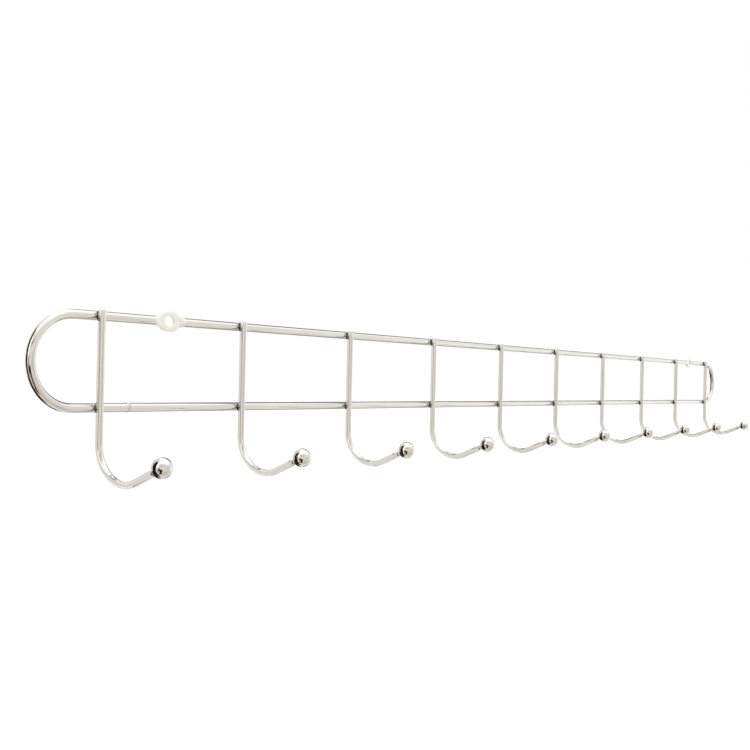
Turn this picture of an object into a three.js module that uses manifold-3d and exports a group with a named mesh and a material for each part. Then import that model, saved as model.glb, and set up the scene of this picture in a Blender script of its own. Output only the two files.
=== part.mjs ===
// Wall hook rack in chrome-plated steel wire: one closed loop of frame wire with a screw eye pressed
// into it near each end, and a row of J-shaped hooks welded across its front, each with a ball tip.
// Millimetres. +X runs along the rack to the right seen from the front, +Y into the wall, +Z up.
// The origin lies on the wall, midway between the two screw eyes.
import * as THREE from "three";
import { mergeVertices } from "three/addons/utils/BufferGeometryUtils.js";
import Module from "manifold-3d";

// ---- Frame ----
const hookCount = 10;
const hookPitch = 80;
const railSpacing = 37; // upper rail to lower rail, centre to centre
const frameWire = 4; // diameter
const bowRun = 11.5; // straight wire from an end hook to where the end bow starts to turn

// ---- Screw eyes ----
const eyeInset = 37.5; // from an end hook in to the eye's centre
const eyeHole = 5; // diameter
const eyeWall = 1.8; // ring above and below the hole
const eyeCheek = 2.8; // ring left and right of the hole
const eyeThickness = 1.6;
const eyeChamfer = 0.3;
const eyeTaper = 3.2; // wire going from round to flat beside the ring
const taperHeight = 5; // of the flattened wire where it runs into the ring

// ---- Butt weld that closes the frame, in the lower rail ----
const buttWeldInset = 16; // from the first hook
const buttWeldLength = 1.4;
const buttWeldProud = 0.25; // the bead stands this far off the wire all round

// ---- Hooks ----
const hookWire = 3.2; // diameter
const hookTopProud = 0.4; // upper end of the wire above the top of the upper rail
const hookDrop = 29.6; // lower rail's centre down to the centre of the wire at its lowest
const hookBend = 16; // radius of the J, to the centre of the wire
const hookReach = 41; // rail's centre out to the ball's centre
const tipRise = 24; // degrees that the last leg climbs towards the ball
const weldSetDown = 0.5; // how deep a hook wire is pressed over the rail behind it

// ---- Ball tips ----
const ballDiameter = 8.5;
const neckLength = 0.9; // thin neck seen between the full wire and the ball
const neckDiameter = 2;
const neckDepth = 3.2; // how far the neck goes into the ball

// ---- Fits ----
const gap = 0.3; // between pieces that meet
const neckClearance = 0.3; // round the neck and past its end, in the ball

// ---- Smoothness ----
const frameSides = 16;
const hookSides = 12;
const ballSides = 16;
const bendStep = 11.5; // degrees of bend in one step of wire
const taperSteps = 6;
const eyeOutlineSteps = 14;

// ---- Worked out ----
const frameRadius = frameWire / 2;
const hookRadius = hookWire / 2;
const ballRadius = ballDiameter / 2;
const neckRadius = neckDiameter / 2;
const frameY = -frameRadius; // the frame lies against the wall
const hookY = frameY - frameRadius - hookRadius + weldSetDown;
const endHookX = (hookPitch * (hookCount - 1)) / 2;
const bowRadius = railSpacing / 2;
const eyeX = endHookX - eyeInset;
const eyeReach = eyeHole / 2 + eyeCheek + eyeTaper; // half the pressed length
const buttWeldX = endHookX - buttWeldInset;
const buttWeldHalf = buttWeldLength / 2;
const { degToRad } = THREE.MathUtils;

const chrome = new THREE.MeshStandardMaterial({ color: 0xd8d9da, roughness: 0.08, metalness: 1 });
const pressedChrome = new THREE.MeshStandardMaterial({ color: 0xcfd1cf, roughness: 0.28, metalness: 1 });
const weldMetal = new THREE.MeshStandardMaterial({ color: 0xb4b3ae, roughness: 0.32, metalness: 1 });

const wasm = await Module();
wasm.setup();

// ---- Geometry helpers ----
function solidOf(geometry) {
  const bare = geometry.clone();
  bare.deleteAttribute("normal");
  bare.deleteAttribute("uv");
  const merged = mergeVertices(bare);
  const vertProperties = new Float32Array(merged.attributes.position.array);
  const triVerts = new Uint32Array(merged.index.array);
  return new wasm.Manifold(new wasm.Mesh({ numProp: 3, vertProperties, triVerts }));
}

function geometryOf(solid) {
  const { vertProperties, triVerts } = solid.getMesh();
  const geometry = new THREE.BufferGeometry();
  geometry.setAttribute("position", new THREE.BufferAttribute(vertProperties, 3));
  geometry.setIndex(new THREE.BufferAttribute(triVerts, 1));
  geometry.computeVertexNormals();
  return geometry;
}

function named(name, geometry, material) {
  const mesh = new THREE.Mesh(geometry, material);
  mesh.name = name;
  return mesh;
}

// A cylinder lying along X, centred on x.
function barAlongX(radius, length, sides, x = 0) {
  const bar = new THREE.CylinderGeometry(radius, radius, length, sides);
  bar.rotateZ(Math.PI / 2);
  bar.translate(x, 0, 0);
  return bar;
}

// A path that passes through chosen stations, one step of an extrusion from each to the next:
// a straight run takes a single step and a bend takes many.
class StationPath extends THREE.Curve {
  constructor(stations) {
    super();
    this.stations = stations;
    this.steps = stations.length - 1;
  }

  getPoint(t) {
    const place = t * this.steps;
    const from = Math.min(Math.floor(place), this.steps - 1);
    return this.stations[from].clone().lerp(this.stations[from + 1], place - from);
  }

  getPointAt(u) {
    return this.getPoint(u);
  }

  // At a station, halfway between the directions of the steps that meet there.
  getTangentAt(u) {
    const here = Math.round(u * this.steps);
    const tangent = new THREE.Vector3();
    for (const from of [here - 1, here]) {
      if (from < 0 || from >= this.steps) continue;
      const step = this.stations[from + 1].clone().sub(this.stations[from]);
      tangent.add(step.normalize());
    }
    return tangent.normalize();
  }
}

// Points of an arc: place(angle) gives each one, from one angle to another in degrees.
function arcStations(from, to, place) {
  const steps = Math.ceil(Math.abs(to - from) / bendStep);
  return Array.from({ length: steps + 1 }, (_, i) => place(degToRad(from + ((to - from) * i) / steps)));
}

function wireThrough(stations, radius, sides) {
  const corner = (_, i) => {
    const turn = (2 * Math.PI * i) / sides;
    return new THREE.Vector2(radius * Math.cos(turn), radius * Math.sin(turn));
  };
  const section = new THREE.Shape(Array.from({ length: sides }, corner));
  const extrudePath = new StationPath(stations);
  return new THREE.ExtrudeGeometry(section, { extrudePath, steps: extrudePath.steps, bevelEnabled: false });
}

// ---- Frame ----
// side is -1 at the left end and 1 at the right. A bow starts at the screw eye, runs out past the end
// hook, turns round the end of the rack and comes back along the lower rail, as far as returnX.
function bow(side, returnX) {
  const at = (x, z) => new THREE.Vector3(side * x, 0, z);
  const turnX = endHookX + bowRun;
  const turn = (angle) => at(turnX + bowRadius * Math.cos(angle), bowRadius * (Math.sin(angle) - 1));
  const stations = [
    at(eyeX + eyeReach + gap / 2, 0),
    ...arcStations(90, -90, turn),
    at(returnX, -railSpacing),
  ];
  return wireThrough(stations, frameRadius, frameSides);
}

// The wire beside the ring goes from round, at the outer end, to flat and tall, inside the ring.
function eyeTaperBar(side) {
  const inside = eyeHole / 2 + eyeCheek / 2;
  const outside = eyeReach - gap / 2;
  const length = outside - inside;
  const bar = new THREE.CylinderGeometry(frameRadius, frameRadius, length, frameSides, taperSteps);
  bar.rotateZ(Math.PI / 2);
  bar.translate(side * (inside + length / 2), 0, 0);
  const place = bar.attributes.position;
  const flatEnd = eyeHole / 2 + eyeCheek;
  for (let i = 0; i < place.count; i += 1) {
    const roundness = THREE.MathUtils.smoothstep(Math.abs(place.getX(i)), flatEnd, outside);
    const tall = THREE.MathUtils.lerp(taperHeight / frameWire, 1, roundness);
    const thick = THREE.MathUtils.lerp(eyeThickness / frameWire, 1, roundness);
    place.setY(i, place.getY(i) * thick);
    place.setZ(i, place.getZ(i) * tall);
  }
  return bar;
}

function screwEye() {
  const outline = new THREE.Shape();
  outline.absellipse(0, 0, eyeHole / 2 + eyeCheek, eyeHole / 2 + eyeWall, 0, 2 * Math.PI);
  const hole = new THREE.Path();
  hole.absarc(0, 0, eyeHole / 2, 0, 2 * Math.PI);
  outline.holes.push(hole);
  const ring = new THREE.ExtrudeGeometry(outline, {
    depth: eyeThickness - 2 * eyeChamfer,
    curveSegments: eyeOutlineSteps,
    bevelThickness: eyeChamfer,
    bevelSize: eyeChamfer,
    bevelOffset: -eyeChamfer,
    bevelSegments: 1,
  });
  ring.translate(0, 0, eyeChamfer - eyeThickness / 2);
  ring.rotateX(Math.PI / 2);
  const joined = solidOf(ring).add(solidOf(eyeTaperBar(-1))).add(solidOf(eyeTaperBar(1)));
  return geometryOf(joined);
}

// The rounded collar of metal that the two wire ends squeezed out as they were welded, dressed
// flush where it would stand off the wall.
function buttWeldBead() {
  const profile = [
    new THREE.Vector2(0, -buttWeldHalf),
    new THREE.Vector2(frameRadius, -buttWeldHalf),
    new THREE.Vector2(frameRadius + buttWeldProud, -buttWeldHalf / 3),
    new THREE.Vector2(frameRadius + buttWeldProud, buttWeldHalf / 3),
    new THREE.Vector2(frameRadius, buttWeldHalf),
    new THREE.Vector2(0, buttWeldHalf),
  ];
  const collar = new THREE.LatheGeometry(profile, frameSides);
  collar.rotateZ(Math.PI / 2);
  const kept = new THREE.BoxGeometry(2 * buttWeldLength, 2 * frameWire, 2 * frameWire);
  kept.translate(0, frameRadius - frameWire, 0);
  return geometryOf(solidOf(collar).intersect(solidOf(kept)));
}

function makeFrame() {
  const frame = new THREE.Group();
  frame.position.y = frameY;

  const upperLength = 2 * (eyeX - eyeReach) - gap;
  frame.add(named("frame_upper_rail", barAlongX(frameRadius, upperLength, frameSides), chrome));

  const lowerStart = buttWeldHalf + gap - buttWeldX;
  const lowerEnd = buttWeldX - gap / 2;
  const lowerRail = barAlongX(frameRadius, lowerEnd - lowerStart, frameSides, (lowerStart + lowerEnd) / 2);
  lowerRail.translate(0, 0, -railSpacing);
  frame.add(named("frame_lower_rail", lowerRail, chrome));

  frame.add(named("frame_bow_left", bow(-1, buttWeldX + buttWeldHalf + gap), chrome));
  frame.add(named("frame_bow_right", bow(1, buttWeldX + gap / 2), chrome));

  const weld = named("frame_butt_weld", buttWeldBead(), weldMetal);
  weld.position.set(-buttWeldX, 0, -railSpacing);
  frame.add(weld);

  const leftEye = named("screw_eye_left", screwEye(), pressedChrome);
  leftEye.position.x = -eyeX;
  const rightEye = named("screw_eye_right", screwEye(), pressedChrome);
  rightEye.position.x = eyeX;
  frame.add(leftEye, rightEye);
  return frame;
}

// ---- Hooks ----
// A hook lies in the plane x = 0 of its own group. Its wire comes straight down in front of both
// rails, turns through the J, and climbs to the ball.
const bendCentre = new THREE.Vector2(hookY - hookBend, hookBend - hookDrop - railSpacing);
const bendAngle = 90 + tipRise;
const legDirection = new THREE.Vector3(0, -Math.cos(degToRad(tipRise)), Math.sin(degToRad(tipRise)));

function onBend(angle) {
  const y = bendCentre.x + hookBend * Math.cos(angle);
  const z = bendCentre.y - hookBend * Math.sin(angle);
  return new THREE.Vector3(0, y, z);
}

const bendEnd = onBend(degToRad(bendAngle));
const legLength = (bendEnd.y - (frameY - hookReach)) / Math.cos(degToRad(tipRise));
const ballCentre = bendEnd.clone().addScaledVector(legDirection, legLength);

function alongLeg(beforeBallCentre) {
  return ballCentre.clone().addScaledVector(legDirection, -beforeBallCentre);
}

function hook() {
  const wireEnd = alongLeg(ballRadius + neckLength);
  const stations = [
    new THREE.Vector3(0, hookY, frameRadius + hookTopProud),
    ...arcStations(0, bendAngle, onBend),
    wireEnd,
  ];
  const neckBase = alongLeg(ballRadius + neckLength + neckRadius);
  const neckEnd = alongLeg(ballRadius - neckDepth);
  const wire = solidOf(wireThrough(stations, hookRadius, hookSides));
  const neck = solidOf(wireThrough([neckBase, neckEnd], neckRadius, hookSides));
  const seat = barAlongX(frameRadius + gap, 2 * hookWire, frameSides);
  seat.translate(0, frameY, 0);
  const upperSeat = solidOf(seat);
  const lowerSeat = solidOf(seat.clone().translate(0, 0, -railSpacing));
  return geometryOf(wire.add(neck).subtract(upperSeat).subtract(lowerSeat));
}

// A ball with a blind bore for the neck. Its bore opens towards -Y of its own frame.
function ball() {
  const boreRadius = neckRadius + neckClearance;
  const mouthAngle = Math.asin(boreRadius / ballRadius);
  const boreEnd = neckDepth + neckClearance - ballRadius;
  const profile = [new THREE.Vector2(0, boreEnd), new THREE.Vector2(boreRadius, boreEnd)];
  const steps = ballSides / 2;
  for (let i = 0; i < steps; i += 1) {
    const angle = THREE.MathUtils.lerp(mouthAngle, Math.PI, i / steps);
    profile.push(new THREE.Vector2(ballRadius * Math.sin(angle), -ballRadius * Math.cos(angle)));
  }
  profile.push(new THREE.Vector2(0, ballRadius));
  return new THREE.LatheGeometry(profile, ballSides);
}

function makeHook(number) {
  const group = new THREE.Group();
  group.position.x = hookPitch * (number - 1) - endHookX;
  const label = String(number).padStart(2, "0");
  group.add(named(`hook_${label}`, hook(), chrome));
  const tip = named(`ball_tip_${label}`, ball(), chrome);
  tip.position.copy(ballCentre);
  tip.rotation.x = Math.PI - degToRad(tipRise);
  group.add(tip);
  return group;
}

const rack = new THREE.Group();
rack.add(makeFrame());
for (let number = 1; number <= hookCount; number += 1) rack.add(makeHook(number));

export default rack;
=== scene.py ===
from math import asin, cos, hypot, pi, radians, sin, sqrt, tan

import bmesh
import bpy
from mathutils import Matrix, Vector, noise


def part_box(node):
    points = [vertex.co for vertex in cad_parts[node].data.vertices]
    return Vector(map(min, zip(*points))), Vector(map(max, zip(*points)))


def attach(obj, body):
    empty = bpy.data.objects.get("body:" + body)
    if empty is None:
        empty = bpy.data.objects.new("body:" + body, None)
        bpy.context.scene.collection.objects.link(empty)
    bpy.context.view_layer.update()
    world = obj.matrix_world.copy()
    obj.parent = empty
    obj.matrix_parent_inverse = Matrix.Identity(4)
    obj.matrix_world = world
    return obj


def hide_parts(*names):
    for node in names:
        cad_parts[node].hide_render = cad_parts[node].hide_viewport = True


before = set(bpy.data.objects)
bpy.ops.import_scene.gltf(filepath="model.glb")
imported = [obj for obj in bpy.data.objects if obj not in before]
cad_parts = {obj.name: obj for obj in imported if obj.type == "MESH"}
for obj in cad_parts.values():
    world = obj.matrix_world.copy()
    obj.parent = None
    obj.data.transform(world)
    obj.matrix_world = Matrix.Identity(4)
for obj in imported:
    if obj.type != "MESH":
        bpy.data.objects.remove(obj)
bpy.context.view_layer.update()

# ---------------------------------------------------------------- sizes, metres

MM = 0.001
HOOK_NODES = sorted(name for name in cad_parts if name.startswith("hook_"))


def centre_of(node):
    low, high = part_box(node)
    return (low + high) / 2


def half_of(node):
    low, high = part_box(node)
    return (high - low) / 2


FRAME_RADIUS = half_of("frame_upper_rail").z
FRAME_Y = centre_of("frame_upper_rail").y
UPPER_Z = centre_of("frame_upper_rail").z
LOWER_Z = centre_of("frame_lower_rail").z
BOW_RADIUS = (UPPER_Z - LOWER_Z) / 2
BOW_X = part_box("frame_bow_right")[1].x - FRAME_RADIUS - BOW_RADIUS

HOOK_RADIUS = half_of(HOOK_NODES[0]).x
HOOK_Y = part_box(HOOK_NODES[0])[1].y - HOOK_RADIUS
HOOK_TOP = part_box(HOOK_NODES[0])[1].z
CUT_ROUNDING = 0.4 * MM
BEND_RADIUS = 16 * MM
BEND_CENTRE_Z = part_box(HOOK_NODES[0])[0].z + HOOK_RADIUS + BEND_RADIUS
TIP_RISE = radians(24)

BALL_RADIUS = 4.25 * MM
SHOULDER_SETBACK = 0.9 * MM
SHOULDER_FLATNESS = 0.6
NECK_RADIUS = 1.0 * MM
NECK_DEPTH = 3.2 * MM
BORE_RADIUS = 1.3 * MM
BORE_DEPTH = 3.5 * MM
BORE_LIP = 0.25 * MM

EYE_X = centre_of("screw_eye_right").x
EYE_HALF_LENGTH = half_of("screw_eye_right").x
EYE_HALF_HEIGHT = half_of("screw_eye_right").z
EYE_RING_HALF_LENGTH = 5.3 * MM
EYE_FULLNESS = 3.2
EYE_RING_THICKNESS = 1.6 * MM
EYE_HOLE_RADIUS = 2.5 * MM
EYE_TAPER_HALF_HEIGHT = 2.4 * MM
EYE_SHOULDER_BLEND = 1.2 * MM
EYE_EDGE_ROUNDING = 0.5 * MM
EYE_HOLE_ROUNDING = 0.3 * MM
EYE_MERGE_DISTANCE = 0.002 * MM

# The noise scales are per metre. Each weld takes its lumps from its own place in the noise.
WELD_RADIUS = 0.72 * MM
WELD_LUMPS = 0.45
WELD_LUMP_SCALE = 900
WELD_LUMP_TWIST = 0.8
UPPER_WELD_STEP = 3.7
LOWER_WELD_STEP = 5.3
LOWER_WELD_START = 50
BEAD_SPREAD = 1.8
BEAD_SUNK = 0.05 * MM
BEAD_LUMPS = 0.08
BEAD_LUMP_SCALE = 1100
BEAD_LUMP_MIDDLE = 0.5

# How finely the meshes are cut.
FRAME_SIDES = 40
HOOK_SIDES = 36
ARC_STEP = radians(3)
STRAIGHT_STEP = 4 * MM
ROUNDING_STEPS = 5
LATHE_SEGMENTS = 64
BALL_STEPS = 48
BEAD_STEPS = 20
WELD_STEPS = 40
WELD_SIDES = 10
EYE_SIDE_STEPS = 56
EYE_FACE_STEPS = 30
SHARP_EDGE = radians(50)
SHARP_EYE_EDGE = radians(40)


# ---------------------------------------------------------------- mesh helpers

def object_from(name, bm, sharp=SHARP_EDGE):
    """Finishes a bmesh as a smooth-shaded object in the scene."""
    bmesh.ops.recalc_face_normals(bm, faces=bm.faces)
    mesh = bpy.data.meshes.new(name)
    bm.to_mesh(mesh)
    bm.free()
    mesh.shade_smooth()
    mesh.set_sharp_from_angle(angle=sharp)
    obj = bpy.data.objects.new(name, mesh)
    bpy.context.scene.collection.objects.link(obj)
    return obj


def place(obj, material, slot, *nodes):
    """Gives a piece its material and its body, and hides the nodes it stands for. The slot argument is not
    used.
    """
    obj.data.materials.append(material)
    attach(obj, "root")
    if nodes:
        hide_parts(*nodes)
    return obj


class Run:
    """A planar centre line, kept as stations of point, direction, section radius and length so far."""

    def __init__(self, start, direction, normal, radius):
        self.point = Vector(start)
        self.direction = Vector(direction).normalized()
        self.normal = Vector(normal)
        self.radius = radius
        self.length = 0.0
        self.stations = []
        self.add_station()

    def add_station(self):
        self.stations.append((self.point.copy(), self.direction.copy(), self.radius, self.length))

    def straight(self, length):
        count = max(1, round(length / STRAIGHT_STEP))
        for _ in range(count):
            self.point += self.direction * (length / count)
            self.length += length / count
            self.add_station()

    def turn(self, angle, bend_radius):
        """Turns by angle about the plane's normal, with the centre line at bend_radius."""
        count = max(1, round(abs(angle) / ARC_STEP))
        spin = Matrix.Rotation(angle / count, 3, self.normal)
        side = self.normal.cross(self.direction) * (1 if angle > 0 else -1)
        centre = self.point + side * bend_radius
        for _ in range(count):
            self.point = centre + spin @ (self.point - centre)
            self.direction = (spin @ self.direction).normalized()
            self.length += abs(angle) / count * bend_radius
            self.add_station()

    def step_to(self, radius, advance):
        """Changes the section radius over a short advance."""
        self.point += self.direction * advance
        self.length += advance
        self.radius = radius
        self.add_station()

    def round_start(self, rounding):
        """Replaces the first station with a cut end whose edge is rounded."""
        point, direction, radius, length = self.stations[0]
        rounded = []
        for index in range(ROUNDING_STEPS):
            angle = pi / 2 * index / ROUNDING_STEPS
            rounded.append((
                point + direction * rounding * (1 - sin(angle)),
                direction,
                radius - rounding * (1 - cos(angle)),
                length,
            ))
        rounded.reverse()
        self.stations[:1] = rounded


def bridge(bm, ring, following):
    """Joins two rings of the same count with quads."""
    count = len(ring)
    for index in range(count):
        after = (index + 1) % count
        bm.faces.new((ring[index], ring[after], following[after], following[index]))


def fan(bm, tip, ring):
    """Closes a ring with triangles to a tip."""
    for index in range(len(ring)):
        bm.faces.new((tip, ring[index], ring[(index + 1) % len(ring)]))


def sweep(name, run, sides):
    """A round bar along a run. The run attribute holds length along, and the place around the section."""
    bm = bmesh.new()
    layer = bm.verts.layers.float_vector.new("run")
    rings = []
    for point, direction, radius, length in run.stations:
        across = run.normal.cross(direction).normalized()
        ring = []
        for index in range(sides):
            angle = 2 * pi * index / sides
            offset = across * cos(angle) + run.normal * sin(angle)
            vertex = bm.verts.new(point + offset * radius)
            vertex[layer] = Vector((length, radius * cos(angle), radius * sin(angle)))
            ring.append(vertex)
        rings.append(ring)
    for ring, following in zip(rings, rings[1:]):
        bridge(bm, ring, following)
    bm.faces.new(rings[0])
    bm.faces.new(list(reversed(rings[-1])))
    return object_from(name, bm)


def lathe(name, centre, axis, profile):
    """Spins (radius, along) points about an axis. A radius of 0 closes the surface."""
    bm = bmesh.new()
    axis = axis.normalized()
    side = axis.orthogonal().normalized()
    other = axis.cross(side)
    rings = []
    for radius, along in profile:
        if radius == 0:
            rings.append([bm.verts.new(centre + axis * along)])
            continue
        ring = []
        for index in range(LATHE_SEGMENTS):
            angle = 2 * pi * index / LATHE_SEGMENTS
            offset = side * cos(angle) + other * sin(angle)
            ring.append(bm.verts.new(centre + axis * along + offset * radius))
        rings.append(ring)
    for ring, following in zip(rings, rings[1:]):
        if len(ring) == 1:
            fan(bm, ring[0], following)
        elif len(following) == 1:
            fan(bm, following[0], ring)
        else:
            bridge(bm, ring, following)
    return object_from(name, bm)


# ---------------------------------------------------------------- frame, hooks and balls

def upper_rail():
    """The upper rail between the two eyes."""
    run = Run((EYE_HALF_LENGTH - EYE_X, FRAME_Y, UPPER_Z), (1, 0, 0), (0, 1, 0), FRAME_RADIUS)
    run.straight(2 * (EYE_X - EYE_HALF_LENGTH))
    return sweep("upper_rail_wire", run, FRAME_SIDES)


def frame_loop():
    """The bows and the lower rail: one wire from the left eye round to the right eye."""
    outside_eye = EYE_X + EYE_HALF_LENGTH
    run = Run((-outside_eye, FRAME_Y, UPPER_Z), (-1, 0, 0), (0, -1, 0), FRAME_RADIUS)
    run.straight(BOW_X - outside_eye)
    run.turn(pi, BOW_RADIUS)
    run.straight(2 * BOW_X)
    run.turn(pi, BOW_RADIUS)
    run.straight(BOW_X - outside_eye)
    return sweep("frame_loop_wire", run, FRAME_SIDES)


def hook_wire(name, x, ball_centre):
    """One hook: cut top end, straight drop, round bend, rising leg, shoulder and neck."""
    run = Run((x, HOOK_Y, HOOK_TOP), (0, 0, -1), (1, 0, 0), HOOK_RADIUS)
    run.straight(HOOK_TOP - BEND_CENTRE_Z)
    run.turn(-(pi / 2 + TIP_RISE), BEND_RADIUS)
    shoulder = (ball_centre - run.point).length - BALL_RADIUS - SHOULDER_SETBACK
    step_down = HOOK_RADIUS - NECK_RADIUS
    run.straight(shoulder - step_down * SHOULDER_FLATNESS)
    before = 0
    for index in range(1, ROUNDING_STEPS + 1):
        angle = pi / 2 * index / ROUNDING_STEPS
        after = step_down * SHOULDER_FLATNESS * sin(angle)
        run.step_to(NECK_RADIUS + step_down * cos(angle), after - before)
        before = after
    run.straight(SHOULDER_SETBACK + NECK_DEPTH)
    run.round_start(CUT_ROUNDING)
    return sweep(name, run, HOOK_SIDES)


def ball(name, centre, axis):
    """A drilled ball: bore, eased mouth and sphere, spun about the hook's leg."""
    mouth = sqrt(BALL_RADIUS ** 2 - (BORE_RADIUS + BORE_LIP) ** 2)
    bore_end = BORE_DEPTH - mouth
    profile = [(0, bore_end), (BORE_RADIUS, bore_end), (BORE_RADIUS, BORE_LIP - mouth)]
    for index in range(1, ROUNDING_STEPS):
        angle = pi / 2 * index / ROUNDING_STEPS
        profile.append((
            BORE_RADIUS + BORE_LIP * (1 - cos(angle)),
            -mouth + BORE_LIP * (1 - sin(angle)),
        ))
    first = asin((BORE_RADIUS + BORE_LIP) / BALL_RADIUS)
    for index in range(BALL_STEPS):
        angle = first + (pi - first) * index / BALL_STEPS
        profile.append((BALL_RADIUS * sin(angle), -BALL_RADIUS * cos(angle)))
    profile.append((0, BALL_RADIUS))
    return lathe(name, centre, axis, profile)


# ---------------------------------------------------------------- welds

def weld_patch(x, rail_z):
    """The outline of the patch where a hook's wire cuts into a rail's."""
    half_width = sqrt(HOOK_RADIUS ** 2 - (FRAME_Y - FRAME_RADIUS - HOOK_Y) ** 2)
    points = []
    for index in range(WELD_STEPS):
        angle = 2 * pi * index / WELD_STEPS
        across = half_width * cos(angle)
        y = HOOK_Y + sqrt(HOOK_RADIUS ** 2 - across ** 2)
        rise = sqrt(max(0, FRAME_RADIUS ** 2 - (y - FRAME_Y) ** 2))
        points.append(Vector((x + across, y, rail_z + (rise if sin(angle) >= 0 else -rise))))
    return points


def weld_fillet(name, x, rail_z, seed):
    """The lumpy seam of squeezed metal round the patch where a hook is welded to a rail."""
    points = weld_patch(x, rail_z)
    bm = bmesh.new()
    rings = []
    for index, point in enumerate(points):
        along = (points[(index + 1) % WELD_STEPS] - points[index - 1]).normalized()
        side = along.cross(Vector((0, 1, 0))).normalized()
        other = along.cross(side)
        ring = []
        for corner in range(WELD_SIDES):
            turn = 2 * pi * corner / WELD_SIDES
            out = side * cos(turn) + other * sin(turn)
            lump = noise.noise(point * WELD_LUMP_SCALE + out * WELD_LUMP_TWIST + Vector((seed, 0, 0)))
            ring.append(bm.verts.new(point + out * WELD_RADIUS * (1 + WELD_LUMPS * lump)))
        rings.append(ring)
    for index in range(WELD_STEPS):
        bridge(bm, rings[index], rings[(index + 1) % WELD_STEPS])
    return object_from(name, bm)


def butt_weld():
    """The low, lumpy bead that closes the frame wire, dressed flush at the wire's back."""
    half_length = BEAD_SPREAD * half_of("frame_butt_weld").x
    proud = half_of("frame_butt_weld").z - FRAME_RADIUS
    profile = [(0, -half_length)]
    for index in range(BEAD_STEPS + 1):
        along = -1 + 2 * index / BEAD_STEPS
        swell = (1 - along ** 2) ** 2
        profile.append((FRAME_RADIUS - BEAD_SUNK + (proud + BEAD_SUNK) * swell, along * half_length))
    profile.append((0, half_length))
    centre = Vector((centre_of("frame_butt_weld").x, FRAME_Y, LOWER_Z))
    obj = lathe("butt_weld_bead", centre, Vector((1, 0, 0)), profile)
    for vertex in obj.data.vertices:
        out = vertex.co - centre
        out.x = 0
        lump = 1 + BEAD_LUMPS * (noise.noise(vertex.co * BEAD_LUMP_SCALE) - BEAD_LUMP_MIDDLE)
        vertex.co = Vector((vertex.co.x, *(centre + out * lump).yz))
        vertex.co.y = min(vertex.co.y, FRAME_Y + FRAME_RADIUS)
    return obj


# ---------------------------------------------------------------- screw eye

def smooth_step(value):
    """Eases 0 to 1, level at both ends."""
    value = min(1, max(0, value))
    return value * value * (3 - 2 * value)


def smooth_max(first, second, blend):
    """The larger of two values, eased where they are less than blend apart."""
    overlap = max(0, blend - abs(first - second))
    return max(first, second) + overlap ** 2 / (4 * blend)


def eye_spread(along):
    """0 at the round wire, 1 on the flat ring."""
    return smooth_step((EYE_HALF_LENGTH - abs(along)) / (EYE_HALF_LENGTH - EYE_RING_HALF_LENGTH))


def eye_half_height(along):
    """Half the eye's height at a place along the wire."""
    share = min(1, abs(along) / EYE_RING_HALF_LENGTH)
    ring = EYE_HALF_HEIGHT * (1 - share ** EYE_FULLNESS) ** (1 / EYE_FULLNESS)
    taper = FRAME_RADIUS + (EYE_TAPER_HALF_HEIGHT - FRAME_RADIUS) * eye_spread(along)
    return smooth_max(ring, taper, EYE_SHOULDER_BLEND)


def eye_depth(along, height, from_hole):
    """Half the eye's thickness at a point of its face."""
    spread = eye_spread(along)
    half = FRAME_RADIUS + (EYE_RING_THICKNESS / 2 - FRAME_RADIUS) * spread
    rounding = FRAME_RADIUS + (EYE_EDGE_ROUNDING - FRAME_RADIUS) * spread
    rounding = min(rounding, half)
    from_edge = max(0, min(rounding, eye_half_height(along) - abs(height)))
    depth = half - rounding + sqrt(max(0, rounding ** 2 - (rounding - from_edge) ** 2))
    inner = max(0, min(EYE_HOLE_ROUNDING, from_hole))
    sunk = EYE_HOLE_ROUNDING - sqrt(EYE_HOLE_ROUNDING ** 2 - (EYE_HOLE_ROUNDING - inner) ** 2)
    return depth - sunk


def eye_outline():
    """The eye's outline, as points (along, height) going round from the right-hand end."""
    points = []
    end_steps = FRAME_SIDES // 2
    for sign in (1, -1):
        for index in range(end_steps):
            height = -sign * FRAME_RADIUS * cos(pi * index / end_steps)
            points.append((sign * EYE_HALF_LENGTH, height))
        for index in range(EYE_SIDE_STEPS):
            along = sign * EYE_HALF_LENGTH * cos(pi * index / EYE_SIDE_STEPS)
            points.append((along, sign * eye_half_height(along)))
    return points


def eye_loop(along, height):
    """From the hole out over the front face to one place of the outline, and back over the rear face."""
    reach = hypot(along, height)
    direction = Vector((along, height)) / reach
    face = []
    for index in range(EYE_FACE_STEPS + 1):
        share = (1 - cos(pi * index / EYE_FACE_STEPS)) / 2
        distance = EYE_HOLE_RADIUS + (reach - EYE_HOLE_RADIUS) * share
        point = direction * distance
        face.append((point.x, point.y, eye_depth(point.x, point.y, distance - EYE_HOLE_RADIUS)))
    edge_x, edge_z, edge_depth = face[-1]
    front = [(x, -depth, z) for x, z, depth in face]
    edge = [(edge_x, -edge_depth * share, edge_z) for share in (0.5, 0, -0.5)]
    rear = [(x, depth, z) for x, z, depth in reversed(face)]
    return front + edge + rear


def screw_eye(name, x):
    """The flat ring pressed from the wire, drilled for a screw and tapering back to the round wire."""
    bm = bmesh.new()
    layer = bm.verts.layers.float_vector.new("run")
    rings = []
    for along, height in eye_outline():
        ring = []
        for dx, dy, dz in eye_loop(along, height):
            vertex = bm.verts.new((x + dx, FRAME_Y + dy, UPPER_Z + dz))
            vertex[layer] = Vector((dx, dy, dz))
            ring.append(vertex)
        rings.append(ring)
    for index, ring in enumerate(rings):
        bridge(bm, ring, rings[(index + 1) % len(rings)])
    bmesh.ops.remove_doubles(bm, verts=bm.verts, dist=EYE_MERGE_DISTANCE)
    return object_from(name, bm, SHARP_EYE_EDGE)


# ---------------------------------------------------------------- node helpers

def feed(tree, socket, value):
    """Sets a socket to a number or colour, or links it to the socket that feeds it."""
    if isinstance(value, bpy.types.NodeSocket):
        tree.links.new(value, socket)
    else:
        socket.default_value = value


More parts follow.
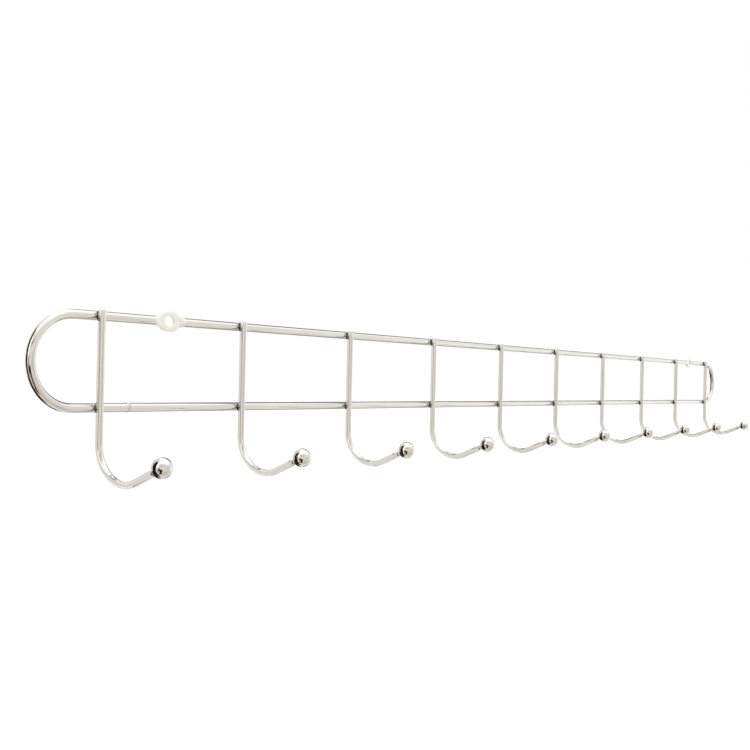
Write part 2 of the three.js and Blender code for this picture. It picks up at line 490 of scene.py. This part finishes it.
def add(tree, kind, **inputs):
    """Adds a node and feeds the inputs that are given by name, with _ for a space."""
    made = tree.nodes.new(kind)
    for key, value in inputs.items():
        feed(tree, made.inputs[key.replace("_", " ")], value)
    return made


def maths(tree, operation, *values):
    made = tree.nodes.new("ShaderNodeMath")
    made.operation = operation
    for socket, value in zip(made.inputs, values):
        feed(tree, socket, value)
    return made.outputs[0]


def mapped(tree, value, low, high, to_low, to_high):
    """Takes one range to another, eased at both ends."""
    made = add(tree, "ShaderNodeMapRange", Value=value, From_Min=low, From_Max=high,
               To_Min=to_low, To_Max=to_high)
    made.interpolation_type = "SMOOTHSTEP"
    return made.outputs["Result"]


def mixed(tree, share, first, second):
    """Mixes two colours. The numbers pick the Mix node's colour sockets."""
    made = tree.nodes.new("ShaderNodeMix")
    made.data_type = "RGBA"
    feed(tree, made.inputs[0], share)
    feed(tree, made.inputs[6], first)
    feed(tree, made.inputs[7], second)
    return made.outputs[2]


def noise_of(tree, vector, scale, detail=3.0, roughness=0.55):
    made = add(tree, "ShaderNodeTexNoise", Vector=vector, Scale=scale, Detail=detail, Roughness=roughness)
    return made.outputs["Fac"]


def ramp(tree, value, *stops):
    """Colours a value by stops of (position, colour)."""
    made = add(tree, "ShaderNodeValToRGB", Fac=value)
    elements = made.color_ramp.elements
    while len(elements) < len(stops):
        elements.new(0.5)
    for element, (position, colour) in zip(elements, stops):
        element.position = position
        element.color = (*colour, 1)
    return made.outputs["Color"]


# ---------------------------------------------------------------- materials

# Noise scales, per metre. The run attribute's first axis is the length along the wire.
WIRE_LINE_SCALE = (90, 6000, 6000)
BALL_LINE_SCALE = (2500, 2500, 900)
DIMPLE_SCALE = 260
SMUDGE_SCALE = 85
DRIFT_SCALE = 30
WELD_GRAIN_SCALE = 2600
WELD_TONE_SCALE = 700
FLOOR_GRAIN_SCALE = 3.0

LINE_DULLING = 1.35
WELD_GRAIN_DEPTH = 0.05 * MM
WELD_GLOSS = 0.24
WELD_DULL = 0.5


def new_material(name):
    material = bpy.data.materials.new(name)
    material.use_nodes = True
    material.node_tree.nodes.clear()
    return material


def plated(name, dark, light, gloss, dull, line_depth, dimple_depth, along_wire):
    """Bright plating: drawing lines, soft dimples, handling smudges and a slight tone drift."""
    material = new_material(name)
    tree = material.node_tree
    place_of = add(tree, "ShaderNodeTexCoord").outputs["Object"]
    if along_wire:
        attribute = tree.nodes.new("ShaderNodeAttribute")
        attribute.attribute_name = "run"
        lines_at = add(tree, "ShaderNodeMapping", Vector=attribute.outputs["Vector"], Scale=WIRE_LINE_SCALE)
    else:
        lines_at = add(tree, "ShaderNodeMapping", Vector=place_of, Scale=BALL_LINE_SCALE)
    lines = noise_of(tree, lines_at.outputs["Vector"], 1.0, 4.0)
    dimples = noise_of(tree, place_of, DIMPLE_SCALE, 2.0)
    smudges = noise_of(tree, place_of, SMUDGE_SCALE, 5.0, 0.6)
    drift = noise_of(tree, place_of, DRIFT_SCALE, 2.0)
    smudge_share = mapped(tree, smudges, 0.46, 0.72, 0, 1)
    line_roughness = mapped(tree, lines, 0.3, 0.7, gloss, gloss * LINE_DULLING)
    roughness = maths(tree, "ADD", line_roughness, maths(tree, "MULTIPLY", smudge_share, dull - gloss))
    colour = ramp(tree, drift, (0.3, dark), (0.7, light))
    fine = add(tree, "ShaderNodeBump", Strength=1.0, Distance=line_depth, Height=lines)
    soft = add(tree, "ShaderNodeBump", Strength=1.0, Distance=dimple_depth, Height=dimples,
               Normal=fine.outputs["Normal"])
    shader = add(tree, "ShaderNodeBsdfPrincipled", Metallic=1.0, Base_Color=colour,
                 Roughness=roughness, Normal=soft.outputs["Normal"])
    add(tree, "ShaderNodeOutputMaterial", Surface=shader.outputs[0])
    return material


def weld_material(name, dark, light):
    """Plating over lumpy weld metal: grainy, uneven in gloss and patchy in tone."""
    material = new_material(name)
    tree = material.node_tree
    place_of = add(tree, "ShaderNodeTexCoord").outputs["Object"]
    grain = noise_of(tree, place_of, WELD_GRAIN_SCALE, 5.0, 0.65)
    tone = noise_of(tree, place_of, WELD_TONE_SCALE, 3.0)
    colour = ramp(tree, tone, (0.38, dark), (0.62, light))
    roughness = mapped(tree, grain, 0.3, 0.7, WELD_GLOSS, WELD_DULL)
    bump = add(tree, "ShaderNodeBump", Strength=1.0, Distance=WELD_GRAIN_DEPTH, Height=grain)
    shader = add(tree, "ShaderNodeBsdfPrincipled", Metallic=1.0, Base_Color=colour,
                 Roughness=roughness, Normal=bump.outputs["Normal"])
    add(tree, "ShaderNodeOutputMaterial", Surface=shader.outputs[0])
    return material


def floor_material():
    material = new_material("pale_floor")
    tree = material.node_tree
    grain = noise_of(tree, add(tree, "ShaderNodeTexCoord").outputs["Object"], FLOOR_GRAIN_SCALE)
    colour = ramp(tree, grain, (0.3, (0.94, 0.94, 0.94)), (0.7, (0.96, 0.96, 0.96)))
    shader = add(tree, "ShaderNodeBsdfDiffuse", Color=colour)
    add(tree, "ShaderNodeOutputMaterial", Surface=shader.outputs[0])
    return material


# ---------------------------------------------------------------- studio

CAMERA_PLACE = Vector((-0.6117, -0.3318, -0.0235))
CAMERA_HEADING = radians(53.04)
CAMERA_TILT = radians(0.32)
CAMERA_ROLL = radians(1.3)
CAMERA_LENS = 47.7
CAMERA_SENSOR = 36
CAMERA_NEAREST = 0.01
CAMERA_FARTHEST = 100
FLOOR_DROP = 0.45
FLOOR_SIZE = 30.0

# Soft patches of the studio round the rack: azimuth from the way to the camera (right positive),
# elevation, half width, half height, softness of the edge, all in degrees, then the brightness.
# A later patch lies over the earlier ones.
STUDIO_BASE = (1.11, 1.075, 1.00)
STUDIO_PATCHES = (
    (160, 0, 55, 16, 12, (1.35, 1.35, 1.35)),
    (50, -48, 48, 26, 10, (0.86, 0.80, 0.70)),
    (110, 42, 50, 12, 8, (1.55, 1.53, 1.48)),
    (0, 90, 400, 42, 5, (1.70, 1.70, 1.70)),
    (5, 27, 26, 5, 4, (0.58, 0.57, 0.55)),
    (170, 30, 24, 16, 7, (0.20, 0.20, 0.18)),
    (165, -38, 18, 14, 8, (0.50, 0.48, 0.44)),
    (-125, 4, 22, 16, 6, (0.92, 0.90, 0.86)),
    (60, -2, 24, 8, 5, (0.85, 0.82, 0.77)),
    (-127, -40, 33, 24, 4, (0.05, 0.045, 0.04)),
    (-95, 62, 35, 9, 5, (0.95, 0.94, 0.98)),
    (-76, -15, 24, 68, 3, (0.015, 0.015, 0.015)),
    (-38, 24, 11, 18, 4, (1.80, 1.80, 1.80)),
    (-46, -22, 6, 28, 3, (1.30, 1.14, 1.08)),
    (-12, -34, 26, 26, 4, (0.05, 0.03, 0.025)),
    (-25, -36, 6, 12, 3, (1.20, 0.96, 0.86)),
    (20, -46, 9, 9, 3, (1.30, 0.92, 0.52)),
    (-20, 0, 7, 9, 3, (0.16, 0.13, 0.11)),
)

# White cards that only the hook wires and the eyes mirror, in front of the studio's dark patches:
# azimuth, half width, lowest and highest elevation.
CARDS = (
    (radians(-76), radians(24), radians(-79), radians(51)),
    (radians(-127), radians(32), radians(-63), radians(-17)),
)
CARD_DISTANCE = 4.0
CARD_BRIGHTNESS = 1.05
CARD_COLOUR = (1.0, 0.975, 0.93)


def make_camera():
    data = bpy.data.cameras.new("camera")
    data.lens = CAMERA_LENS
    data.sensor_width = CAMERA_SENSOR
    data.clip_start = CAMERA_NEAREST
    data.clip_end = CAMERA_FARTHEST
    camera = bpy.data.objects.new("camera", data)
    bpy.context.scene.collection.objects.link(camera)
    heading = Matrix.Rotation(-CAMERA_HEADING, 4, "Z")
    tilt = Matrix.Rotation(pi / 2 + CAMERA_TILT, 4, "X")
    roll = Matrix.Rotation(CAMERA_ROLL, 4, "Z")
    camera.matrix_world = Matrix.Translation(CAMERA_PLACE) @ heading @ tilt @ roll
    bpy.context.scene.camera = camera


def studio_colour(tree, azimuth, elevation):
    """The studio's colour in a direction given in degrees."""
    colour = (*STUDIO_BASE, 1)
    for patch_azimuth, patch_elevation, half_width, half_height, soft, bright in STUDIO_PATCHES:
        turned = maths(tree, "WRAP", maths(tree, "SUBTRACT", azimuth, patch_azimuth), 180, -180)
        sideways = maths(tree, "ABSOLUTE", turned)
        upward = maths(tree, "ABSOLUTE", maths(tree, "SUBTRACT", elevation, patch_elevation))
        across = mapped(tree, sideways, half_width - soft, half_width + soft, 1, 0)
        up = mapped(tree, upward, half_height - soft, half_height + soft, 1, 0)
        colour = mixed(tree, maths(tree, "MULTIPLY", across, up), colour, (*bright, 1))
    return colour


def make_world():
    """A pale studio: plain white to the camera, soft patches for the plating to mirror."""
    world = bpy.data.worlds.new("studio")
    bpy.context.scene.world = world
    world.use_nodes = True
    tree = world.node_tree
    tree.nodes.clear()
    direction = add(tree, "ShaderNodeTexCoord").outputs["Generated"]
    x, y, z = add(tree, "ShaderNodeSeparateXYZ", Vector=direction).outputs
    heading = maths(tree, "ARCTAN2", x, y)
    from_camera = maths(tree, "SUBTRACT", heading, CAMERA_HEADING + pi)
    azimuth = maths(tree, "MULTIPLY", from_camera, -180 / pi)
    elevation = maths(tree, "MULTIPLY", maths(tree, "ARCSINE", z), 180 / pi)
    mirrored = add(tree, "ShaderNodeBackground", Color=studio_colour(tree, azimuth, elevation), Strength=1.0)
    plain = add(tree, "ShaderNodeBackground", Color=(1, 1, 1, 1), Strength=1.0)
    path = tree.nodes.new("ShaderNodeLightPath")
    either = add(tree, "ShaderNodeMixShader", Fac=path.outputs["Is Camera Ray"])
    feed(tree, either.inputs[1], mirrored.outputs[0])
    feed(tree, either.inputs[2], plain.outputs[0])
    add(tree, "ShaderNodeOutputWorld", Surface=either.outputs[0])


def make_floor():
    """A pale floor below the rack, which the plating doesn't mirror."""
    bm = bmesh.new()
    bmesh.ops.create_grid(bm, x_segments=1, y_segments=1, size=FLOOR_SIZE)
    floor = object_from("studio_floor", bm)
    floor.location.z = -FLOOR_DROP
    floor.data.materials.append(floor_material())
    floor.visible_glossy = False


def make_card(azimuth, half_width, lowest, highest, receivers):
    """An upright white card that faces the rack and that only the receivers mirror."""
    width = 2 * CARD_DISTANCE * tan(half_width)
    bottom = CARD_DISTANCE * tan(lowest)
    top = CARD_DISTANCE * tan(highest)
    data = bpy.data.lights.new("white_card", "AREA")
    data.shape = "RECTANGLE"
    data.size = width
    data.size_y = top - bottom
    data.energy = CARD_BRIGHTNESS * pi * width * (top - bottom)
    data.color = CARD_COLOUR
    card = bpy.data.objects.new("white_card", data)
    bpy.context.scene.collection.objects.link(card)
    heading = CAMERA_HEADING + pi - azimuth
    away = Vector((sin(heading), cos(heading), 0))
    card.location = away * CARD_DISTANCE + Vector((0, 0, (bottom + top) / 2))
    card.rotation_euler = (-away).to_track_quat("-Z", "Y").to_euler()
    card.visible_camera = False
    card.light_linking.receiver_collection = receivers


# ---------------------------------------------------------------- build

make_camera()
carded = bpy.data.collections.new("lit_by_cards")

wire_chrome = plated("chrome_wire", (0.60, 0.595, 0.575), (0.65, 0.645, 0.63), 0.05, 0.14,
                     0.0012 * MM, 0.004 * MM, True)
ball_chrome = plated("chrome_ball", (0.61, 0.605, 0.59), (0.66, 0.655, 0.64), 0.025, 0.10,
                     0.0005 * MM, 0.003 * MM, False)
# The pressed eye is the same chrome as the wire. Its lighter base colour is a painted reflection, standing
# for the white that its flat face mirrors.
eye_chrome_painted_reflection = plated("chrome_pressed_eye_painted_reflection", (0.74, 0.75, 0.72), (0.80, 0.81, 0.79), 0.34, 0.50,
                    0.004 * MM, 0.010 * MM, True)
# The spot welds' near-black colour is painted shade: over the real weld seam it stands for the dark
# reflection and shade where each hook crosses a rail.
weld_metal = weld_material("plated_spot_weld_painted_shade", (0.025, 0.025, 0.028), (0.20, 0.19, 0.185))
bead_metal = weld_material("plated_butt_weld", (0.50, 0.49, 0.47), (0.66, 0.65, 0.63))

place(upper_rail(), wire_chrome, "chrome_wire", "frame_upper_rail")
place(frame_loop(), wire_chrome, "chrome_wire", "frame_lower_rail", "frame_bow_left", "frame_bow_right")
place(butt_weld(), bead_metal, "weld_metal", "frame_butt_weld")
for side, sign in (("left", -1), ("right", 1)):
    # The eyes take the lighter chrome, which paints in the reflection of their flat faces.
    eye = screw_eye("pressed_eye_" + side, sign * EYE_X)
    carded.objects.link(place(eye, eye_chrome_painted_reflection, "pressed_eye", "screw_eye_" + side))

leg_axis = Vector((0, -cos(TIP_RISE), sin(TIP_RISE)))
for number, node in enumerate(HOOK_NODES, 1):
    tag = f"{number:02d}"
    x = centre_of(node).x
    ball_at = centre_of("ball_tip_" + tag)
    wire = hook_wire("wire_hook_" + tag, x, ball_at)
    carded.objects.link(place(wire, wire_chrome, "chrome_wire", node))
    place(ball("drilled_ball_" + tag, ball_at, leg_axis), ball_chrome, "chrome_ball", "ball_tip_" + tag)
    # The spot welds take the near-black material, which paints shade at each crossing.
    upper_weld = weld_fillet("weld_upper_" + tag, x, UPPER_Z, number * UPPER_WELD_STEP)
    place(upper_weld, weld_metal, "weld_metal")
    lower_weld = weld_fillet("weld_lower_" + tag, x, LOWER_Z, number * LOWER_WELD_STEP + LOWER_WELD_START)
    place(lower_weld, weld_metal, "weld_metal")

make_world()
make_floor()
for card in CARDS:
    make_card(*card, carded)

scene = bpy.context.scene
scene.view_settings.view_transform = "Standard"
scene.view_settings.look = "None"
